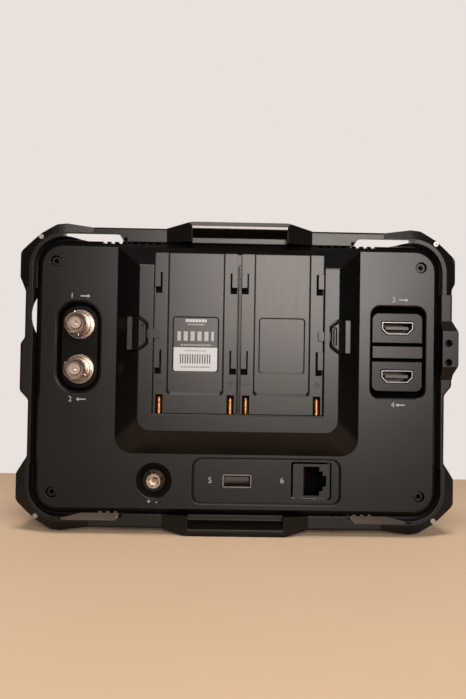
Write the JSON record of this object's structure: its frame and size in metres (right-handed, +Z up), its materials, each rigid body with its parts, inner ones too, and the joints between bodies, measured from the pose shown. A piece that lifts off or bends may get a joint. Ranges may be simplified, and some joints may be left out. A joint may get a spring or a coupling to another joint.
{
  "type": "camera field monitor",
  "caption": "Flat camera-top monitor in a notched metal guard, with slide-on battery plates, release latches and video, data and power sockets on its rear.",
  "frame": {"origin": "middle of the bottom of the whole object's box, on the table", "axes": "+X to the right as seen from the battery side, +Y towards the screen, +Z up"},
  "size_m": [0.2046, 0.0426, 0.1446],
  "materials": {
    "guard_paint": "satin black paint on cast light metal",
    "bright_steel": "bright small screws",
    "steel": "plain steel",
    "black_steel": "blackened steel",
    "black_plastic": "fine textured black moulding",
    "plate_plastic": "fine textured dark grey moulding",
    "gloss_black_plastic": "smooth black moulding",
    "white_plastic": "white moulding",
    "label_film": "printed film, dark above and white below",
    "display_film": "dark display panel",
    "screen_glass": "clear cover glass with a black border",
    "black_rubber": "black adhesive tape",
    "grey_rubber": "soft grey pad",
    "tray_metal": "bare pressed light metal",
    "brass": "plain turned brass",
    "gold": "gold plated contact",
    "nickel": "nickel plated",
    "board_resin": "green circuit board",
    "chip_resin": "black moulded resin",
    "ribbon_film": "amber film"
  },
  "bodies": {
    "housing": {"guard_frame": "guard_paint", "corner_screws": "bright_steel", "top_mount_insert": "steel", "bottom_mount_insert": "steel", "front_bezel": "black_plastic", "cover_glass": "screen_glass", "glass_adhesive": "black_rubber", "lcd_panel": "display_film", "backlight_unit": "white_plastic", "backlight_tray": "tray_metal", "chassis_plate": "tray_metal", "chassis_screws": "steel", "board_standoffs": "brass", "main_board": "board_resin", "board_screws": "steel", "video_processor": "chip_resin", "thermal_pad": "grey_rubber", "heat_spreader": "tray_metal", "memory_chips": "chip_resin", "board_capacitors": "tray_metal", "display_ribbon": "ribbon_film", "rear_cover": "black_plastic", "rear_cover_screws": "black_steel", "left_battery_plate": "plate_plastic", "right_battery_plate": "plate_plastic", "left_battery_contacts": "gold", "right_battery_contacts": "gold", "battery_contact_board": "board_resin", "plate_screws": "steel", "left_plate_label": "label_film", "left_latch_spring": "steel", "right_latch_spring": "steel", "left_latch_retainer": "black_plastic", "right_latch_retainer": "black_plastic", "retainer_screws": "steel", "power_switch": "chip_resin", "upper_coax_shell": "nickel", "upper_coax_insulator": "white_plastic", "upper_coax_contact": "gold", "upper_coax_nut": "nickel", "lower_coax_shell": "nickel", "lower_coax_insulator": "white_plastic", "lower_coax_contact": "gold", "lower_coax_nut": "nickel", "video_faceplate": "black_plastic", "upper_video_shell": "nickel", "upper_video_tongue": "chip_resin", "lower_video_shell": "nickel", "lower_video_tongue": "chip_resin", "port_panel": "black_plastic", "data_socket_shell": "nickel", "data_socket_tongue": "chip_resin", "network_jack_housing": "gloss_black_plastic", "network_jack_contacts": "gold", "power_inlet_body": "nickel", "power_inlet_nut": "nickel", "power_inlet_pin": "nickel"},
    "left_latch": {"left_release_latch": "black_plastic"},
    "right_latch": {"right_release_latch": "black_plastic"},
    "button": {"power_button": "black_plastic"}
  },
  "joints": [
    {"name": "left_latch_slide", "type": "slide", "parent": "housing", "child": "left_latch", "axis": [-1, 0, 0], "range_m": [0, 0.0022], "stiffness_N_per_m": 900, "springref_m": -0.001, "deforming": ["left_latch_spring"]},
    {"name": "right_latch_slide", "type": "slide", "parent": "housing", "child": "right_latch", "axis": [1, 0, 0], "range_m": [0, 0.0022], "stiffness_N_per_m": 900, "springref_m": -0.001, "deforming": ["right_latch_spring"]},
    {"name": "power_button_press", "type": "slide", "parent": "housing", "child": "button", "axis": [1, 0, 0], "range_m": [0, 0.0006], "stiffness_N_per_m": 1500, "springref_m": -0.0002}
  ]
}
